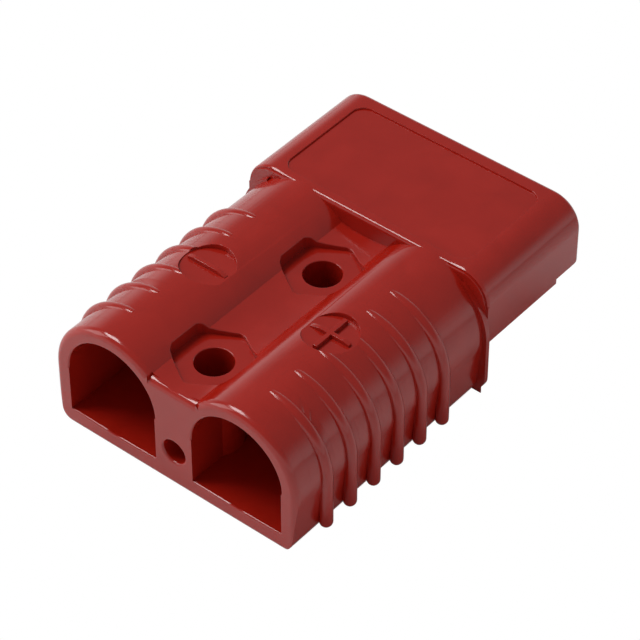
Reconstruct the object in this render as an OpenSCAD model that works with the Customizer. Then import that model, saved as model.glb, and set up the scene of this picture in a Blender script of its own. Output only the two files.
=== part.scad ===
// Two-pole genderless power connector housing with leaf springs and crimp contacts.
// +X is the plus pole's side, +Y is the mating direction, +Z is up.
// The origin is the centre of the underside. Units are millimetres.

/* [Housing] */
// Length over the rear face and the hood's front
length = 77; // [76:0.5:80]
// Height of the crowns and of the hood
height = 25.4; // [25:0.1:26]
// Width of the body and hood without ribs
width = 52.6; // [52:0.2:54]
// Radius of each crown
crown_r = 12.6; // [12.2:0.1:12.8]
// Rounding of the long lower edges
foot_r = 2.8; // [1.5:0.1:3]
// Rounding of the rear face's outer edge
rear_round = 1.35; // [0.6:0.05:1.5]
// Lowest height of the valley between the crowns
valley_h = 21.4; // [21:0.1:22]
// Radius of the valley's hollow floor
valley_r = 24; // [18:1:40]

/* [Cable ports] */
// Distance of each port's centre from the middle
port_x = 13.55; // [13.3:0.05:13.8]
// Radius of the port's arch
port_r = 9.55; // [9:0.05:9.6]
// Height of the arch's centre
port_z = 13.1; // [12.8:0.1:13.2]
// Height of the flat port floor
port_floor = 3.7; // [3:0.1:4]
// Depth of the port chamber
port_depth = 44; // [43:0.5:45]
// Rounding of the port's mouth
mouth_round = 0.4; // [0.2:0.05:0.5]
// Wall left around each mounting hole inside the ports
boss_wall = 1.6; // [1.2:0.1:1.8]

/* [Hood] */
// Distance of the hood's rear face from the rear face
hood_y = 50; // [49.5:0.1:50.5]
// Rounding of the hood's upper side corners
hood_corner = 5.8; // [5:0.1:6.5]
// Rounding of the hood's top edges, front and rear
hood_round = 1; // [0.5:0.1:1.2]
// Height of the skirt's lower edge
skirt_z = 11.4; // [11:0.1:12]
// Height of the skirt's raised end
skirt_end_z = 12.4; // [12.1:0.1:12.6]
// Length of the skirt's raised end
skirt_end_l = 6.6; // [5:0.2:8]
// Rounding of the hood's front lower corner
skirt_round = 1.6; // [0.8:0.1:2]
// Depth of the lip that holds each spring at the hood's front
lip_depth = 1.4; // [1:0.1:1.6]
// Height of the lip below the arch
lip_drop = 1.6; // [1.2:0.1:1.8]

/* [Label panel] */
// Half width of the recessed panel
panel_x = 20.05; // [18:0.05:20.3]
// Distance of the panel's rear end from the rear face
panel_y0 = 52; // [51.5:0.5:55]
// Distance of the panel's front end from the rear face
panel_y1 = 74; // [70:0.5:74.5]
// Corner rounding of the panel
panel_r = 2.6; // [1:0.1:4]
// Depth of the panel
panel_depth = 0.35; // [0.2:0.05:0.6]

/* [Ribs and flange] */
// Number of grip ribs on each side
rib_count = 6; // [3:1:6]
// Distance between ribs
rib_pitch = 6.17; // [5:0.01:6.3]
// Front face of the first rib from the rear face
rib_y = 6.85; // [6:0.05:7.5]
// Thickness of each rib
rib_w = 2.9; // [2:0.1:3.2]
// How far the ribs stand out of the side
rib_out = 1.65; // [0.8:0.05:2]
// Rounding of the ribs' lower corner
rib_foot_r = 4; // [2:0.1:5]
// Height of the ribs' lower end
rib_z = 0.4; // [0.2:0.1:1]
// How far the flange stands out of the side
flange_out = 0.75; // [0.4:0.05:1]
// Thickness of the flange
flange_w = 1.5; // [1:0.1:2]
// Rounding of the flange's lower corner
flange_foot_r = 3.2; // [2:0.1:4]

/* [Mounting] */
// Distance of the rear mounting hole from the rear face
hole_y = 10.7; // [10.5:0.1:11]
// Distance between the mounting holes
hole_pitch = 28; // [27.5:0.1:28]
// Diameter of the mounting holes
hole_d = 6.8; // [6.4:0.1:7]
// Width across flats of the nut pockets
pocket_af = 13; // [12:0.1:13.2]
// Rounding circle of the nut pockets' corners
pocket_round = 7.2; // [6.9:0.05:7.5]
// Height of the nut pockets' floor
pocket_z = 20.6; // [20:0.1:20.8]
// Radius of the spot face in each pocket
spot_r = 5.3; // [5:0.1:5.8]
// Depth of the spot face
spot_depth = 0.2; // [0.1:0.05:0.3]
// Diameter of the rear pilot hole
pilot_d = 4.7; // [3:0.1:5]
// Height of the pilot hole
pilot_z = 7.85; // [7:0.05:9]
// Depth of the pilot hole
pilot_depth = 5.4; // [3:0.1:5.5]
// Rounding of the pilot hole's mouth
pilot_round = 0.5; // [0.2:0.1:0.8]

/* [Polarity marks] */
// Distance of each mark from the middle
mark_x = 13.3; // [12.5:0.1:14]
// Distance of the marks from the rear face
mark_y = 24.5; // [22:0.1:27]
// Radius of the sunk disc
mark_r = 4.9; // [4:0.1:5.2]
// Depth of the disc's floor below the crown
mark_depth = 1; // [0.7:0.1:1.4]
// Length of the raised bars
bar_l = 8.2; // [6:0.1:8.6]
// Width of the raised bars
bar_w = 0.8; // [0.5:0.1:1.2]
// How far the bars stay below the crown
bar_sink = 0.2; // [0.1:0.05:0.5]

/* [Contacts] */
// Outer diameter of the crimp barrel
barrel_d = 14.3; // [13.5:0.1:14.5]
// Inner diameter of the crimp barrel
barrel_bore = 11.1; // [10:0.1:11.5]
// Distance of the barrel's mouth from the rear face
barrel_y = 19; // [18:0.5:20]
// Depth of the barrel's bore
barrel_depth = 20; // [16:0.5:21]
// Width of the contact tongue
tongue_w = 12.4; // [10:0.1:12.8]
// Thickness of the contact tongue
tongue_t = 3.2; // [2.5:0.1:3.4]
// Distance from the tongue's tip to the hood's front
tip_back = 4.6; // [4:0.1:6]
// Rounding of the tongue's tip in plan
tip_r = 3; // [1:0.1:5]
// Rounding of the tip's leading edge
nose_r = 1.2; // [0.5:0.1:1.3]
// Clearance around the tongue in its window
window_gap = 0.4; // [0.3:0.05:0.6]
// Clearance between the barrel's end and the shelf
barrel_gap = 0.4; // [0.3:0.05:0.6]

/* [Springs] */
// Width of each leaf spring
leaf_w = 9; // [8:0.1:9.5]
// Thickness of each leaf spring
leaf_t = 0.8; // [0.5:0.05:1]
// Length of the leaf's flat that presses on the tongue
leaf_flat = 4; // [3:0.5:6]
// Length of the leaf's two end seats
leaf_seat = 3.2; // [2:0.1:3.6]
// Clearance between the leaf's ends and its stops
leaf_gap = 0.3; // [0.2:0.05:0.5]

/* [Finish] */
// Smoothness of the curves in millimetres a facet
facet = 0.5; // [0.35:0.05:1]
// Colour of the housing
housing_color = "#9b2a22";
// Colour of the contacts
contact_color = "#d3d0c8";
// Colour of the springs
spring_color = "#9a9da0";

/* [Hidden] */

$fa = 4;
$fs = facet;
eps = 0.01;
past = 1;
half_w = width / 2;
crown_x = half_w - crown_r;
crown_z = height - crown_r;
mid_z = height / 2;
port_in = port_x - port_r;
port_out = port_x + port_r;
flange_y = hood_y + flange_w - 1.3;
roof_z = port_z + sqrt(pow(port_r, 2) - pow(leaf_w / 2, 2));
shelf_y = port_depth + 2;
barrel_z = port_floor + barrel_d / 2;
barrel_end = port_depth - barrel_gap;
tip_y = length - tip_back;
tongue_top = mid_z + tongue_t;
leaf_y0 = shelf_y + leaf_gap;
leaf_y1 = length - lip_depth - leaf_gap;
leaf_rise = roof_z - leaf_t - tongue_top;
leaf_run = (leaf_y1 - leaf_y0 - leaf_flat - 2 * leaf_seat) / 2;
bend_a = 2 * atan(leaf_rise / leaf_run);
bend_r = leaf_run / (2 * sin(bend_a));
crease_a = 133;

// A flat outline in X and Z made solid from one Y to the other
module along_y(y0, y1) {
    translate([0, y1, 0])
        rotate([90, 0, 0])
            linear_extrude(y1 - y0)
                children();
}

// The same shape on both sides of the middle
module both_sides() {
    children();
    mirror([1, 0, 0])
        children();
}

module mount_points() {
    for (i = [0, 1])
        translate([0, hole_y + i * hole_pitch, 0])
            children();
}

// A square with one rounded corner, used as a corner's outline
module foot_corner(w, h, r) {
    difference() {
        square([w, h]);
        translate([w - r, -eps])
            square([r + eps, r + eps]);
    }
    translate([w - r, r])
        circle(r);
}

// What is cut from an outer edge to round it, in a plane across the edge
module round_outline(r) {
    difference() {
        translate([-r, -past])
            square([r + past, r + past]);
        translate([-r, r])
            circle(r);
    }
}

// Rounds a straight rear edge that runs along X from x0 to x1 at height z
module round_run(x0, x1, z, up, r) {
    translate([x0, 0, z])
        scale_side(up)
            rotate([90, 0, 90])
                linear_extrude(x1 - x0)
                    rotate(90)
                        mirror([0, 1])
                            round_outline(r);
}

module scale_side(up) {
    if (up)
        children();
    else
        mirror([0, 0, 1])
            children();
}

// Rounds a rear edge that runs around an arc from angle a0 to a1
module round_arc(x, z, radius, a0, a1, r) {
    translate([x, 0, z])
        rotate([90, 0, 0])
            mirror([0, 0, 1])
                rotate(a0)
                    rotate_extrude(angle = a1 - a0)
                        translate([radius, 0])
                            round_outline(r);
}

// Opens the mouth of a hole around an arc
module mouth_arc(x, z, radius, a0, a1, r) {
    translate([x, 0, z])
        rotate([90, 0, 0])
            mirror([0, 0, 1])
                rotate(a0)
                    rotate_extrude(angle = a1 - a0)
                        translate([radius, 0])
                            mirror([1, 0])
                                round_outline(r);
}

module body_outline() {
    both_sides_2d() {
        translate([crown_x, crown_z])
            circle(crown_r);
        translate([crown_x, 0])
            foot_corner(crown_r, crown_z, foot_r);
        translate([-eps, 0])
            square([crown_x + 2 * eps, crown_z]);
    }
    difference() {
        translate([-crown_x, crown_z - eps])
            square([2 * crown_x, valley_h + past - crown_z]);
        translate([0, valley_h + valley_r])
            circle(valley_r, $fa = 2);
        both_sides_2d()
            translate([6, valley_h])
                square([crown_x, 2 * past]);
    }
}

module both_sides_2d() {
    children();
    mirror([1, 0])
        children();
}

module port_outline() {
    both_sides_2d() {
        translate([port_x, port_z])
            circle(port_r);
        translate([port_in, port_floor])
            square([2 * port_r, port_z - port_floor]);
    }
}

module hood_outline() {
    translate([-half_w, 0])
        square([width, height - hood_corner]);
    translate([-half_w + hood_corner, 0])
        square([width - 2 * hood_corner, height]);
    both_sides_2d()
        translate([half_w - hood_corner, height - hood_corner])
            circle(hood_corner);
}

module rib_outline() {
    both_sides_2d() {
        intersection() {
            translate([crown_x + rib_out, crown_z])
                circle(crown_r);
            translate([crown_x, crown_z])
                square(2 * crown_r);
        }
        translate([crown_x, rib_z])
            foot_corner(crown_r + rib_out, crown_z - rib_z + eps, rib_foot_r);
    }
}

module flange_outline() {
    both_sides_2d() {
        translate([half_w - hood_corner + flange_out, height - hood_corner])
            intersection() {
                circle(hood_corner);
                square(hood_corner);
            }
        translate([crown_x, rib_z / 2])
            foot_corner(crown_r + flange_out, height - hood_corner - rib_z / 2 + eps, flange_foot_r);
    }
}

module rear_rounds() {
    both_sides() {
        round_arc(crown_x, crown_z, crown_r, 0, crease_a, rear_round);
        round_arc(half_w - foot_r, foot_r, foot_r, -90, 0, rear_round);
        translate([half_w, 0, 0])
            mirror([0, 1, 0])
                mirror([0, 1, 0])
                    translate([0, 0, foot_r])
                        linear_extrude(crown_z - foot_r)
                            round_outline(rear_round);
    }
    round_run(-half_w + foot_r, half_w - foot_r, 0, false, rear_round);
    round_run(-5.2, 5.2, valley_h + 0.2, true, rear_round);
}

module hood_rear_rounds() {
    translate([0, hood_y, 0]) {
        both_sides()
            round_arc(half_w - hood_corner, height - hood_corner, hood_corner, 0, 90, hood_round);
        round_run(-half_w + hood_corner, half_w - hood_corner, height, true, hood_round);
    }
}

module hood_front_rounds() {
    translate([0, length, 0])
        mirror([0, 1, 0]) {
            both_sides() {
                round_arc(half_w - hood_corner, height - hood_corner, hood_corner, 0, 90, hood_round);
                translate([half_w, 0, mid_z - 2])
                    linear_extrude(height - hood_corner - mid_z + 2)
                        round_outline(hood_round);
            }
            round_run(-half_w + hood_corner, half_w - hood_corner, height, true, hood_round);
        }
}

module skirt_cut() {
    translate([-half_w - past, flange_y, -past])
        cube([width + 2 * past, length, skirt_z + past]);
    translate([-half_w - past, length - skirt_end_l, 0])
        cube([width + 2 * past, length, skirt_end_z]);
    translate([-half_w - past, 0, 0])
        rotate([90, 0, 90])
            linear_extrude(width + 2 * past)
                translate([length - skirt_round, skirt_end_z + skirt_round])
                    difference() {
                        translate([0, -skirt_round - past])
                            square([skirt_round + past, skirt_round + past]);
                        circle(skirt_round);
                    }
}

module channels() {
    // Rear chambers, each kept clear of the mounting holes by a boss
    difference() {
        along_y(-past, port_depth)
            port_outline();
        mount_points()
            cylinder(height, hole_d / 2 + boss_wall, hole_d / 2 + boss_wall);
    }
    // Windows for the tongues and the spring bay under the hood
    both_sides() {
        translate([port_x - tongue_w / 2 - window_gap, port_depth - past, mid_z])
            cube([tongue_w + 2 * window_gap, shelf_y - port_depth + 2 * past, tongue_t + window_gap]);
    }
    intersection() {
        along_y(shelf_y, length - lip_depth)
            port_outline();
        translate([-half_w, 0, mid_z])
            cube([width, 2 * length, height]);
    }
    intersection() {
        along_y(shelf_y, length + past)
            port_outline();
        translate([-half_w, 0, mid_z])
            cube([width, 2 * length, port_z + port_r - lip_drop - mid_z]);
    }
    // The space for the mating half, open downwards
    translate([-port_out, flange_y, -past])
        cube([2 * port_out, length, mid_z + past]);
}

module mount_cuts() {
    mount_points() {
        translate([0, 0, -past])
            cylinder(height + 2 * past, hole_d / 2, hole_d / 2);
        translate([0, 0, pocket_z])
            linear_extrude(height)
                intersection() {
                    rotate(30)
                        circle(pocket_af / sqrt(3), $fn = 6);
                    circle(pocket_round);
                }
        translate([0, 0, pocket_z - spot_depth])
            cylinder(height, spot_r, spot_r);
    }
    along_y(-past, pilot_depth)
        translate([0, pilot_z])
            circle(pilot_d / 2);
    mouth_arc(0, pilot_z, pilot_d / 2, 0, 360, pilot_round);
}

module port_mouths() {
    both_sides()
        mouth_arc(port_x, port_z, port_r, 0, 180, mouth_round);
}

module marks() {
    for (s = [-1, 1])
        translate([s * mark_x, mark_y, height - mark_depth])
            difference() {
                cylinder(height, mark_r, mark_r);
                translate([-bar_l / 2, -bar_w / 2, -eps])
                    cube([bar_l, bar_w, mark_depth - bar_sink]);
                if (s > 0)
                    translate([-bar_w / 2, -bar_l / 2, -eps])
                        cube([bar_w, bar_l, mark_depth - bar_sink]);
            }
}

module panel_cut() {
    translate([0, 0, height - panel_depth])
        linear_extrude(height)
            both_sides_2d() {
                translate([-eps, panel_y0])
                    square([panel_x - panel_r, panel_y1 - panel_y0]);
                translate([-eps, panel_y0 + panel_r])
                    square([panel_x, panel_y1 - panel_y0 - 2 * panel_r]);
                for (y = [panel_y0 + panel_r, panel_y1 - panel_r])
                    translate([panel_x - panel_r, y])
                        circle(panel_r);
            }
}

module shell() {
    difference() {
        along_y(0, flange_y)
            body_outline();
        rear_rounds();
    }
    difference() {
        along_y(hood_y - 10, hood_y + 2)
            body_outline();
        translate([-half_w, 0, -past])
            cube([width, length, mid_z + past]);
    }
    difference() {
        along_y(hood_y, length)
            hood_outline();
        hood_rear_rounds();
        hood_front_rounds();
    }
    for (i = [0 : rib_count - 1])
        along_y(rib_y + i * rib_pitch - rib_w, rib_y + i * rib_pitch)
            rib_outline();
    along_y(flange_y - flange_w, flange_y)
        flange_outline();
}

module housing() {
    color(housing_color)
        translate([0, -length / 2, 0])
            difference() {
                shell();
                skirt_cut();
                channels();
                mount_cuts();
                port_mouths();
                marks();
                panel_cut();
            }
}

module contact() {
    // Crimp barrel with a closed front end
    difference() {
        along_y(barrel_y, barrel_end)
            translate([port_x, barrel_z])
                circle(barrel_d / 2);
        along_y(barrel_y - past, barrel_y + barrel_depth)
            translate([port_x, barrel_z])
                circle(barrel_bore / 2);
    }
    // Flat tongue that wipes on the mating half
    intersection() {
        translate([port_x - tongue_w / 2, 0, mid_z])
            linear_extrude(tongue_t) {
                translate([0, barrel_y + barrel_depth])
                    square([tongue_w, tip_y - tip_r - barrel_y - barrel_depth]);
                translate([tip_r, tip_y - 2 * tip_r])
                    square([tongue_w - 2 * tip_r, 2 * tip_r]);
                for (x = [tip_r, tongue_w - tip_r])
                    translate([x, tip_y - tip_r])
                        circle(tip_r);
            }
        translate([port_x - tongue_w, 0, 0])
            rotate([90, 0, 90])
                linear_extrude(2 * tongue_w) {
                    translate([0, mid_z])
                        square([tip_y - nose_r, tongue_t]);
                    translate([0, mid_z + nose_r])
                        square([tip_y, tongue_t - nose_r]);
                    translate([tip_y - nose_r, mid_z + nose_r])
                        circle(nose_r);
                }
    }
}

module contact_plus() {
    color(contact_color)
        translate([0, -length / 2, 0])
            contact();
}

module contact_minus() {
    color(contact_color)
        translate([0, -length / 2, 0])
            mirror([1, 0, 0])
                contact();
}

// One bend of the leaf, from its start with the ends level
module leaf_bend() {
    translate([0, bend_r + leaf_t / 2])
        intersection() {
            difference() {
                circle(bend_r + leaf_t / 2, $fa = 3);
                circle(bend_r - leaf_t / 2, $fa = 3);
            }
            polygon([[-eps, 0], [-eps, -2 * bend_r], [2 * bend_r * tan(bend_a + 0.2), -2 * bend_r]]);
        }
}

module leaf() {
    mid_y = (leaf_y0 + leaf_y1) / 2;
    translate([port_x - leaf_w / 2, mid_y, 0])
        rotate([90, 0, 90])
            linear_extrude(leaf_w)
                both_sides_2d() {
                    translate([-eps, tongue_top])
                        square([leaf_flat / 2 + 2 * eps, leaf_t]);
                    translate([leaf_flat / 2, tongue_top])
                        leaf_bend();
                    translate([leaf_flat / 2 + leaf_run, roof_z])
                        rotate(180)
                            leaf_bend();
                    translate([leaf_flat / 2 + leaf_run - eps, roof_z - leaf_t])
                        square([leaf_seat + eps, leaf_t]);
                }
}

module spring_plus() {
    color(spring_color)
        translate([0, -length / 2, 0])
            leaf();
}

module spring_minus() {
    color(spring_color)
        translate([0, -length / 2, 0])
            mirror([1, 0, 0])
                leaf();
}

housing();
contact_minus();
contact_plus();
spring_minus();
spring_plus();
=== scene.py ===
"""Looks of the two-pole power connector: red housing, silver contacts and bright leaf springs."""
import math

import bpy
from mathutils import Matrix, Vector


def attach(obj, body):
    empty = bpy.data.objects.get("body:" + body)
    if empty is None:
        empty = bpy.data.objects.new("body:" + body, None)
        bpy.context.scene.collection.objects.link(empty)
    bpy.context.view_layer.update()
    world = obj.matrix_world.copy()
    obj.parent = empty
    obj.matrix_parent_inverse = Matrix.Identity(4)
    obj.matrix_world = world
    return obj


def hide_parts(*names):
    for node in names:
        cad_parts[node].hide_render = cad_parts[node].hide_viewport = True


# Housing sizes in metres
LENGTH = 0.077
HEIGHT = 0.0254
HALF_W = 0.0263
REAR_Y = -LENGTH / 2
CROWN_R = 0.0126
CROWN_X = HALF_W - CROWN_R
CROWN_Z = HEIGHT - CROWN_R
FOOT_X = 0.02507
FOOT_ROUND = 0.0031
HOOD_Y = REAR_Y + 0.050
HOOD_CORNER = 0.0058
HOOD_INSET = 0.0005
PANEL_X = 0.0203

# Lip behind the hood
LIP_OUT = 0.00075
LIP_Y0 = REAR_Y + 0.0493
LIP_Y1 = REAR_Y + 0.0502
LIP_Z = 0.0012
LIP_ROUND = 0.003

# Grip ribs
RIB_COUNT = 6
RIB_PITCH = 0.00617
RIB_Y = 0.0077
RIB_W = 0.0024
RIB_OUT = 0.0011
RIB_Z = 0.0017
RIB_END_STEPS = 6

# Mounting holes, their nut pockets and the spot faces in them
HOLES_Y = (REAR_Y + 0.0107, REAR_Y + 0.0387)
HOLE_REACH = 0.0036
SPOT_REACH = 0.0056
SPOT_Z = 0.0204
POCKET_REACH = 0.0076
POCKET_Z = 0.0206

# Sunk discs of the plus and minus marks
MARK_X = 0.0133
MARK_Y = REAR_Y + 0.0245
MARK_R = 0.0049
MARK_LOW_Z = 0.0235
MARK_CLEAR = 0.0001
BAR_TOP_Z = 0.0251

# Sill at the mouth of the cable ports
SILL_LOW_Z = 0.003
SILL_HIGH_Z = 0.0038
SILL_NEAR_X = 0.0035
SILL_FAR_X = 0.0235

# Edge radii
HOUSING_EDGE = 0.0006
CONTACT_EDGE = 0.0003
SPRING_EDGE = 0.00012

# Shares of the housing's edge radius
MARK_SHARE = 0.15
PANEL_SHARE = 0.25
POCKET_SHARE = 0.3
HOLE_SHARE = 0.4
SILL_SHARE = 0.5

# Cutting: how far tools run past, and how far their faces stay off the housing's own
PAST = 0.001
SKIN = 0.000004
HAIR = 0.00002
CROWN_SIDES = 384

# Camera
EYE = Vector((0.2408, -0.2936, 0.3592))
AIM = Vector((0.0, -0.0005, 0.0105))
LENS = 169.2


def look_at(thing, target):
    """Turns a camera or lamp to face a point."""
    way = target - thing.location
    thing.rotation_euler = way.to_track_quat("-Z", "Y").to_euler()


def add_camera():
    bpy.ops.object.camera_add(location=EYE)
    camera = bpy.context.object
    camera.name = "camera"
    camera.data.lens = LENS
    camera.data.sensor_width = 36
    camera.data.clip_start = 0.01
    camera.data.clip_end = 20
    look_at(camera, AIM)
    bpy.context.scene.camera = camera


def deselect():
    if bpy.context.object and bpy.context.object.mode != "OBJECT":
        bpy.ops.object.mode_set(mode="OBJECT")
    bpy.ops.object.select_all(action="DESELECT")


def pick(thing):
    deselect()
    thing.select_set(True)
    bpy.context.view_layer.objects.active = thing


def face_out(thing):
    """Points all faces of a closed shape outwards."""
    pick(thing)
    bpy.ops.object.mode_set(mode="EDIT")
    bpy.ops.mesh.select_all(action="SELECT")
    bpy.ops.mesh.normals_make_consistent(inside=False)
    bpy.ops.object.mode_set(mode="OBJECT")


def select_sharp(piece, angle):
    """Selects the edges at which the faces turn by more than an angle in degrees."""
    pick(piece)
    bpy.ops.object.mode_set(mode="EDIT")
    bpy.ops.mesh.select_mode(type="EDGE")
    bpy.ops.mesh.select_all(action="DESELECT")
    bpy.ops.mesh.edges_select_sharp(sharpness=math.radians(angle))
    bpy.ops.object.mode_set(mode="OBJECT")


def apply_all(thing):
    pick(thing)
    for modifier in list(thing.modifiers):
        bpy.ops.object.modifier_apply(modifier=modifier.name)


def merged_copy(node, name):
    """A copy of a CAD node with its doubled points merged and its flat faces joined."""
    pick(node)
    bpy.ops.object.duplicate()
    piece = bpy.context.object
    piece.name = name
    piece.parent = None
    for key in list(piece.keys()):
        if key.startswith("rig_"):
            del piece[key]
    bpy.ops.mesh.customdata_custom_splitnormals_clear()
    bpy.ops.object.mode_set(mode="EDIT")
    bpy.ops.mesh.select_all(action="SELECT")
    bpy.ops.mesh.remove_doubles(threshold=2e-6)
    bpy.ops.mesh.dissolve_limited(angle_limit=math.radians(0.6))
    bpy.ops.object.mode_set(mode="OBJECT")
    face_out(piece)
    return piece


def ease_edges(piece, radius, segments, share=lambda near, far: 1.0):
    """Rounds the sharp edges, each by the share of the edge radius that its place allows."""
    select_sharp(piece, 35)
    mesh = piece.data
    weights = mesh.attributes.new("bevel_weight_edge", "FLOAT", "EDGE")
    for line in mesh.edges:
        if line.select:
            ends = [mesh.vertices[i].co for i in line.vertices]
            weights.data[line.index].value = share(*ends)
    ease = piece.modifiers.new("ease", "BEVEL")
    ease.width = radius
    ease.segments = segments
    ease.limit_method = "WEIGHT"
    ease.use_clamp_overlap = False
    ease.miter_outer = "MITER_ARC"
    ease.harden_normals = False
    apply_all(piece)
    bpy.ops.object.shade_smooth_by_angle(angle=math.radians(28))


# ------------------------------------------------------- tools for the housing

def combine(base, tool, operation):
    """Adds a closed shape to the piece or cuts it away, and drops the tool."""
    pick(base)
    join = base.modifiers.new("join", "BOOLEAN")
    join.operation = operation
    join.object = tool
    join.solver = "EXACT"
    bpy.ops.object.modifier_apply(modifier=join.name)
    bpy.data.objects.remove(tool)


def add_bar(x, z, radius, y0, y1):
    """A round bar along Y."""
    deselect()
    bpy.ops.mesh.primitive_cylinder_add(
        vertices=CROWN_SIDES, radius=radius, depth=y1 - y0,
        location=(x, (y0 + y1) / 2, z), rotation=(math.pi / 2, 0, 0))
    bar = bpy.context.object
    bpy.ops.object.transform_apply()
    return bar


def add_block(x0, x1, y0, y1, z0, z1):
    deselect()
    bpy.ops.mesh.primitive_cube_add(size=1, location=((x0 + x1) / 2, (y0 + y1) / 2, (z0 + z1) / 2))
    block = bpy.context.object
    block.scale = (x1 - x0, y1 - y0, z1 - z0)
    bpy.ops.object.transform_apply()
    return block


def select_edges(piece, test):
    """Selects the edges whose two ends both pass the test, in edit mode."""
    pick(piece)
    bpy.ops.object.mode_set(mode="EDIT")
    bpy.ops.mesh.select_mode(type="EDGE")
    bpy.ops.mesh.select_all(action="DESELECT")
    bpy.ops.object.mode_set(mode="OBJECT")
    points = piece.data.vertices
    for edge in piece.data.edges:
        edge.select = all(test(points[i].co) for i in edge.vertices)
    bpy.ops.object.mode_set(mode="EDIT")


def bevel_edges(piece, test, radius, segments):
    select_edges(piece, test)
    bpy.ops.mesh.bevel(offset=radius, segments=segments, affect="EDGES")
    bpy.ops.object.mode_set(mode="OBJECT")


def is_outer_foot(p):
    return p.x > CROWN_X / 2 and p.z < CROWN_Z / 2


def is_outer_top(p):
    return p.x > CROWN_X / 2 and p.z > CROWN_Z


def add_leaning_wall(y0, y1):
    """The body below its crowns: a block whose side leans in to a rounded foot."""
    block = add_block(-PAST, HALF_W + SKIN, y0, y1, 0, CROWN_Z)
    for point in block.data.vertices:
        if is_outer_foot(point.co):
            point.co.x = FOOT_X + SKIN
    bevel_edges(block, is_outer_foot, FOOT_ROUND, segments=14)
    return block


def trim_outside(piece, y0, y1, keep):
    """Cuts away, on both sides, what stands outside the shapes to keep between two places on Y."""
    for side in (1, -1):
        cutter = add_block(CROWN_X, 2 * HALF_W, y0, y1, -PAST, HEIGHT + 2 * PAST)
        for shape in keep():
            combine(cutter, shape, "DIFFERENCE")
        if side < 0:
            pick(cutter)
            cutter.scale.x = -1
            bpy.ops.object.transform_apply()
            face_out(cutter)
        combine(piece, cutter, "DIFFERENCE")


def plain_side(y0, y1):
    """A crown and the wall below it, without ribs or lip."""
    return [add_bar(CROWN_X, CROWN_Z, CROWN_R + SKIN, y0, y1), add_leaning_wall(y0, y1)]


def lip_foot(y0, y1):
    """The lip below its crown, with a rounded foot."""
    foot = add_block(0, HALF_W + LIP_OUT, y0, y1, LIP_Z, CROWN_Z + HAIR)
    bevel_edges(foot, is_outer_foot, LIP_ROUND, segments=12)
    return foot


def hood_block(y0, y1):
    """The hood's rear end and all below it, just under the hood's skin."""
    block = add_block(0, HALF_W - HOOD_INSET, y0, y1, -2 * PAST, HEIGHT - HOOD_INSET)
    bevel_edges(block, is_outer_top, HOOD_CORNER - HOOD_INSET, segments=20)
    return block


def lip_and_hood():
    """What stays where the body meets the hood: crown, wall, lip and the hood's rear end."""
    near, far = LIP_Y0 - PAST, LIP_Y1 + PAST
    return plain_side(near, far) + [
        lip_foot(near, far),
        add_bar(CROWN_X + LIP_OUT, CROWN_Z, CROWN_R, near, far),
        hood_block(HOOD_Y + HAIR, far)]


def flatten_spot_faces(piece):
    """Lifts the shallow spot faces to the floor of the nut pockets."""
    for point in piece.data.vertices:
        on_spot = any(math.hypot(point.co.x, point.co.y - hole_y) < SPOT_REACH for hole_y in HOLES_Y)
        if on_spot and abs(point.co.z - SPOT_Z) < 1e-5:
            point.co.z = POCKET_Z
    pick(piece)
    bpy.ops.object.mode_set(mode="EDIT")
    bpy.ops.mesh.select_all(action="SELECT")
    bpy.ops.mesh.remove_doubles(threshold=2e-6)
    bpy.ops.mesh.dissolve_degenerate(threshold=1e-6)
    bpy.ops.mesh.dissolve_limited(angle_limit=math.radians(0.3))
    bpy.ops.object.mode_set(mode="OBJECT")


def shape_sides(piece):
    """Takes the square ribs and thick lip off the copied solid and leans its side walls in."""
    behind = REAR_Y - PAST
    trim_outside(piece, behind, LIP_Y0, lambda: plain_side(behind - PAST, LIP_Y0 + PAST))
    trim_outside(piece, LIP_Y0 - 0.0003, LIP_Y1 + 0.0002, lip_and_hood)


def add_rib():
    """One round grip rib, swept over the crown and down the side to a round end."""
    bead = RIB_W / 2
    ring = CROWN_R - bead
    deselect()
    bpy.ops.mesh.primitive_circle_add(
        vertices=32, radius=bead, fill_type="NGON",
        location=(CROWN_X + RIB_OUT, 0, CROWN_Z + ring), rotation=(0, math.pi / 2, 0))
    rib = bpy.context.object
    bpy.ops.object.transform_apply()
    bpy.ops.object.mode_set(mode="EDIT")
    bpy.ops.mesh.select_all(action="SELECT")
    bpy.ops.mesh.spin(
        steps=28, angle=math.pi / 2, center=(CROWN_X + RIB_OUT, 0, CROWN_Z), axis=(0, -1, 0))
    bpy.ops.mesh.extrude_region_move(
        TRANSFORM_OT_translate={"value": (0, 0, RIB_Z + bead - CROWN_Z)})
    drop = 0.0
    size = 1.0
    for step in range(1, RIB_END_STEPS):
        turn = step * math.pi / (2 * RIB_END_STEPS)
        bpy.ops.mesh.extrude_region_move(
            TRANSFORM_OT_translate={"value": (0, 0, -(bead * math.sin(turn) - drop))})
        drop = bead * math.sin(turn)
        new_size = math.cos(turn)
        bpy.ops.transform.resize(value=(new_size / size,) * 3)
        size = new_size
    bpy.ops.mesh.extrude_region_move(TRANSFORM_OT_translate={"value": (0, 0, -(bead - drop))})
    bpy.ops.mesh.merge(type="COLLAPSE")
    face_out(rib)
    return rib


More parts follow.
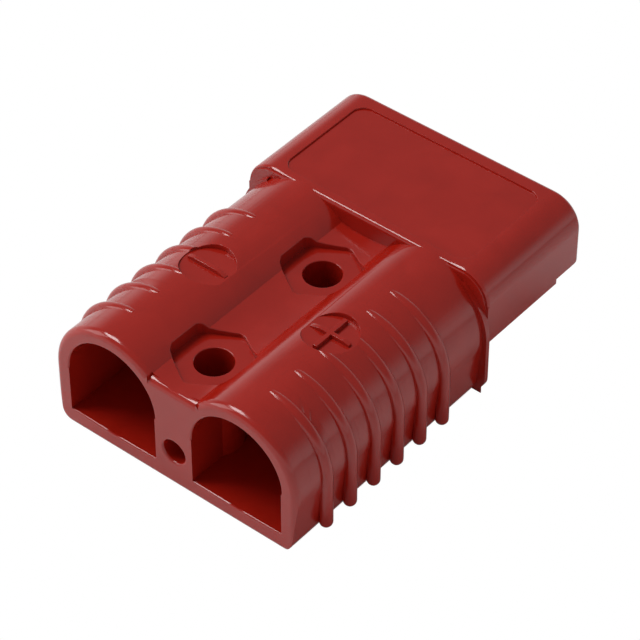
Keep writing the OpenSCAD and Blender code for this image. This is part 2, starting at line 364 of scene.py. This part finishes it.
def add_ribs(piece):
    """A row of ribs on each side, cut short where the sunk discs lie."""
    rib = add_rib()
    row = rib.modifiers.new("row", "ARRAY")
    row.count = RIB_COUNT
    row.use_relative_offset = False
    row.use_constant_offset = True
    row.constant_offset_displace = (0, RIB_PITCH, 0)
    pair = rib.modifiers.new("pair", "MIRROR")
    pair.use_mirror_merge = False
    apply_all(rib)
    for point in rib.data.vertices:
        point.co.y += REAR_Y + RIB_Y
    for side in (1, -1):
        deselect()
        bpy.ops.mesh.primitive_cylinder_add(
            vertices=96, radius=MARK_R + MARK_CLEAR, depth=0.01, location=(side * MARK_X, MARK_Y, HEIGHT))
        disc = bpy.context.object
        bpy.ops.object.transform_apply()
        combine(rib, disc, "DIFFERENCE")
    combine(piece, rib, "UNION")


def off_crown(p):
    """Distance of a point from a crown's surface."""
    return abs(math.hypot(abs(p.x) - CROWN_X, p.z - CROWN_Z) - CROWN_R)


def housing_share(near, far):
    """How much of the edge radius an edge of the housing gets, by the places of its two ends."""
    middle = (near + far) / 2
    across = abs(middle.x)
    low, high = min(near.z, far.z), max(near.z, far.z)
    from_mark = math.hypot(across - MARK_X, middle.y - MARK_Y)
    if from_mark < MARK_R + MARK_CLEAR and low > MARK_LOW_Z:
        on_crown = all(off_crown(p) < 0.00004 for p in (near, far))
        return MARK_SHARE if on_crown or low > BAR_TOP_Z else 0.0
    if middle.y > HOOD_Y + 0.0015 and low > HEIGHT - 0.0001 and across < PANEL_X:
        return PANEL_SHARE
    for hole_y in HOLES_Y:
        from_hole = math.hypot(across, middle.y - hole_y)
        if from_hole < POCKET_REACH and low > POCKET_Z + 0.0003:
            return POCKET_SHARE
        if from_hole < HOLE_REACH and low > POCKET_Z - 0.0001:
            return HOLE_SHARE
    on_rear = max(near.y, far.y) < REAR_Y + 0.0003
    on_sill = SILL_LOW_Z < low and high < SILL_HIGH_Z and SILL_NEAR_X < across < SILL_FAR_X
    return SILL_SHARE if on_rear and on_sill else 0.0


def at_rib_foot(p):
    """True where a rib leaves the crown or the side wall."""
    if p.z > CROWN_Z:
        return off_crown(p) < 0.00003
    return abs(p.x) < HALF_W + 0.00003


def clean_up(piece):
    """Merges the slivers that cutting leaves, and keeps the ribs' feet crisp."""
    pick(piece)
    bpy.ops.object.mode_set(mode="EDIT")
    bpy.ops.mesh.select_all(action="SELECT")
    bpy.ops.mesh.remove_doubles(threshold=3e-6)
    bpy.ops.mesh.dissolve_degenerate(threshold=2e-6)
    bpy.ops.mesh.dissolve_limited(angle_limit=math.radians(0.4))
    bpy.ops.mesh.select_all(action="SELECT")
    bpy.ops.mesh.fill_holes(sides=6)
    bpy.ops.object.mode_set(mode="OBJECT")
    bpy.ops.object.shade_smooth_by_angle(angle=math.radians(32))
    select_sharp(piece, 7)
    points = piece.data.vertices
    for line in piece.data.edges:
        ends = [points[i].co for i in line.vertices]
        by_ribs = all(abs(p.x) > CROWN_X and REAR_Y + 0.004 < p.y < LIP_Y0 - 0.002 for p in ends)
        if line.select and by_ribs and all(at_rib_foot(p) for p in ends):
            line.use_edge_sharp = True
    even = piece.modifiers.new("even", "WEIGHTED_NORMAL")
    even.keep_sharp = True
    even.weight = 50
    apply_all(piece)


# ---------------------------------------------------------------- materials

def new_material(name):
    material = bpy.data.materials.new(name)
    material.use_nodes = True
    tree = material.node_tree
    tree.nodes.clear()
    out = tree.nodes.new("ShaderNodeOutputMaterial")
    shader = tree.nodes.new("ShaderNodeBsdfPrincipled")
    tree.links.new(shader.outputs["BSDF"], out.inputs["Surface"])
    return material, tree, shader


def surface_group():
    """Broad flow marks and the fine ripple of a moulded, plated or rolled surface."""
    group = bpy.data.node_groups.new("worked_surface", "ShaderNodeTree")
    face = group.interface
    for name in ("Flow Scale", "Ripple Scale", "Ripple Height", "Low Roughness", "High Roughness"):
        face.new_socket(name, in_out="INPUT", socket_type="NodeSocketFloat")
    for name in ("Flow", "Roughness"):
        face.new_socket(name, in_out="OUTPUT", socket_type="NodeSocketFloat")
    face.new_socket("Normal", in_out="OUTPUT", socket_type="NodeSocketVector")
    nodes, links = group.nodes, group.links
    given = nodes.new("NodeGroupInput")
    result = nodes.new("NodeGroupOutput")
    place = nodes.new("ShaderNodeTexCoord")

    flow = nodes.new("ShaderNodeTexNoise")
    flow.inputs["Detail"].default_value = 3
    flow.inputs["Distortion"].default_value = 0.6
    links.new(place.outputs["Object"], flow.inputs["Vector"])
    links.new(given.outputs["Flow Scale"], flow.inputs["Scale"])

    ripple = nodes.new("ShaderNodeTexNoise")
    ripple.inputs["Detail"].default_value = 2
    links.new(place.outputs["Object"], ripple.inputs["Vector"])
    links.new(given.outputs["Ripple Scale"], ripple.inputs["Scale"])

    # Roughness follows the flow marks, with about a third as much from the ripple
    both = nodes.new("ShaderNodeMath")
    both.operation = "MULTIPLY_ADD"
    both.inputs[1].default_value = 0.35
    links.new(ripple.outputs["Fac"], both.inputs[0])
    links.new(flow.outputs["Fac"], both.inputs[2])
    rough = nodes.new("ShaderNodeMapRange")
    rough.inputs["From Min"].default_value = 0.45
    rough.inputs["From Max"].default_value = 0.9
    links.new(both.outputs["Value"], rough.inputs["Value"])
    links.new(given.outputs["Low Roughness"], rough.inputs["To Min"])
    links.new(given.outputs["High Roughness"], rough.inputs["To Max"])

    bump = nodes.new("ShaderNodeBump")
    bump.inputs["Distance"].default_value = 0.0002
    links.new(given.outputs["Ripple Height"], bump.inputs["Strength"])
    links.new(ripple.outputs["Fac"], bump.inputs["Height"])
    links.new(flow.outputs["Fac"], result.inputs["Flow"])
    links.new(rough.outputs["Result"], result.inputs["Roughness"])
    links.new(bump.outputs["Normal"], result.inputs["Normal"])
    return group


def surfaced(name, surface, settings, dark, light):
    """A material whose colour, roughness and ripple follow the surface group."""
    material, tree, shader = new_material(name)
    skin = tree.nodes.new("ShaderNodeGroup")
    skin.node_tree = surface
    for socket, value in settings.items():
        skin.inputs[socket].default_value = value
    ramp = tree.nodes.new("ShaderNodeValToRGB")
    ramp.color_ramp.elements[0].position = 0.3
    ramp.color_ramp.elements[0].color = dark
    ramp.color_ramp.elements[1].position = 0.7
    ramp.color_ramp.elements[1].color = light
    tree.links.new(skin.outputs["Flow"], ramp.inputs["Fac"])
    tree.links.new(ramp.outputs["Color"], shader.inputs["Base Color"])
    tree.links.new(skin.outputs["Roughness"], shader.inputs["Roughness"])
    tree.links.new(skin.outputs["Normal"], shader.inputs["Normal"])
    return material, shader


def red_polycarbonate(surface):
    """Glossy moulded red."""
    material, shader = surfaced(
        "red_polycarbonate", surface,
        {"Flow Scale": 140, "Ripple Scale": 900, "Ripple Height": 0.05,
         "Low Roughness": 0.10, "High Roughness": 0.20},
        (0.315, 0.0095, 0.0042, 1), (0.355, 0.0112, 0.0050, 1))
    shader.inputs["IOR"].default_value = 1.58
    return material


def silver_plate(surface):
    """Soft, slightly warm plating of the crimp contacts."""
    material, shader = surfaced(
        "silver_plate", surface,
        {"Flow Scale": 260, "Ripple Scale": 1500, "Ripple Height": 0.12,
         "Low Roughness": 0.20, "High Roughness": 0.36},
        (0.68, 0.66, 0.61, 1), (0.76, 0.74, 0.70, 1))
    shader.inputs["Metallic"].default_value = 1
    return material


def spring_steel(surface):
    """Bright rolled strip of the leaf springs."""
    material, shader = surfaced(
        "spring_steel", surface,
        {"Flow Scale": 420, "Ripple Scale": 2200, "Ripple Height": 0.10,
         "Low Roughness": 0.18, "High Roughness": 0.32},
        (0.41, 0.41, 0.43, 1), (0.49, 0.49, 0.50, 1))
    shader.inputs["Metallic"].default_value = 1
    return material


def finish_with(piece, material):
    piece.data.materials.clear()
    piece.data.materials.append(material)


# ------------------------------------------------------------------- stage

def show_white(tree, lit, white, out):
    """Lights the part with one shader and shows the camera the plain white one."""
    path = tree.nodes.new("ShaderNodeLightPath")
    mix = tree.nodes.new("ShaderNodeMixShader")
    tree.links.new(path.outputs["Is Camera Ray"], mix.inputs["Fac"])
    tree.links.new(lit, mix.inputs[1])
    tree.links.new(white, mix.inputs[2])
    tree.links.new(mix.outputs["Shader"], out.inputs["Surface"])


def add_floor():
    """A pale floor that the camera sees as plain white."""
    deselect()
    bpy.ops.mesh.primitive_plane_add(size=6, location=(0, 0, 0))
    floor = bpy.context.object
    floor.name = "floor"
    material, tree, shader = new_material("white_sweep")
    shader.inputs["Base Color"].default_value = (0.86, 0.86, 0.86, 1)
    shader.inputs["Roughness"].default_value = 0.9
    shader.inputs["Specular IOR Level"].default_value = 0.2
    glow = tree.nodes.new("ShaderNodeEmission")
    glow.inputs["Color"].default_value = (1, 1, 1, 1)
    glow.inputs["Strength"].default_value = 1.0
    show_white(tree, shader.outputs["BSDF"], glow.outputs["Emission"], tree.nodes["Material Output"])
    floor.data.materials.append(material)


def add_world():
    """A white tent that is brightest near the horizon."""
    world = bpy.data.worlds.new("studio")
    bpy.context.scene.world = world
    world.use_nodes = True
    tree = world.node_tree
    tree.nodes.clear()
    out = tree.nodes.new("ShaderNodeOutputWorld")
    tent = tree.nodes.new("ShaderNodeBackground")
    tent.inputs["Color"].default_value = (1, 1, 1, 1)
    way = tree.nodes.new("ShaderNodeTexCoord")
    parts = tree.nodes.new("ShaderNodeSeparateXYZ")
    level = tree.nodes.new("ShaderNodeMapRange")
    level.interpolation_type = "SMOOTHSTEP"
    level.inputs["From Min"].default_value = 0.08
    level.inputs["From Max"].default_value = 0.5
    level.inputs["To Min"].default_value = 0.85
    level.inputs["To Max"].default_value = 0.26
    tree.links.new(way.outputs["Generated"], parts.inputs["Vector"])
    tree.links.new(parts.outputs["Z"], level.inputs["Value"])
    tree.links.new(level.outputs["Result"], tent.inputs["Strength"])
    plain = tree.nodes.new("ShaderNodeBackground")
    plain.inputs["Color"].default_value = (1, 1, 1, 1)
    plain.inputs["Strength"].default_value = 1.0
    show_white(tree, tent.outputs["Background"], plain.outputs["Background"], out)


def add_lamp(name, place, wide, tall, power):
    """A soft box that faces the part."""
    bpy.ops.object.light_add(type="AREA", location=place)
    lamp = bpy.context.object
    lamp.name = name
    lamp.data.shape = "RECTANGLE"
    lamp.data.size = wide
    lamp.data.size_y = tall
    lamp.data.energy = power
    look_at(lamp, Vector((0, 0, 0.01)))


def add_lights():
    add_world()
    add_lamp("top_box", (-0.4, -0.1, 0.75), wide=0.5, tall=0.35, power=4.6)
    add_lamp("left_box", (-0.6, -0.35, 0.35), wide=0.4, tall=0.4, power=1.0)


# ------------------------------------------------------------------- scene

add_camera()
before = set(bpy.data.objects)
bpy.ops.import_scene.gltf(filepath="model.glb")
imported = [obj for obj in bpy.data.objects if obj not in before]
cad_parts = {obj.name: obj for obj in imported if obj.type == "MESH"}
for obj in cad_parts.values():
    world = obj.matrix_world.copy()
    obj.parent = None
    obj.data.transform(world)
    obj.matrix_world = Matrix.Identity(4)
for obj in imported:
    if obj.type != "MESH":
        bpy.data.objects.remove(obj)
deselect()
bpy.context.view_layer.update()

surface = surface_group()
red = red_polycarbonate(surface)
silver = silver_plate(surface)
steel = spring_steel(surface)

housing = merged_copy(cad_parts["housing"], "moulded_housing")
flatten_spot_faces(housing)
ease_edges(housing, HOUSING_EDGE, 3, housing_share)
shape_sides(housing)
add_ribs(housing)
clean_up(housing)
finish_with(housing, red)
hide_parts("housing")
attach(housing, "root")

for pole in ("minus", "plus"):
    contact = merged_copy(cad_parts["contact_" + pole], "crimp_contact_" + pole)
    ease_edges(contact, CONTACT_EDGE, 2)
    finish_with(contact, silver)
    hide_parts("contact_" + pole)
    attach(contact, "root")
    leaf = merged_copy(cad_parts["spring_" + pole], "leaf_spring_" + pole)
    ease_edges(leaf, SPRING_EDGE, 2)
    finish_with(leaf, steel)
    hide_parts("spring_" + pole)
    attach(leaf, "root")

add_floor()
add_lights()

bpy.context.scene.view_settings.view_transform = "Standard"
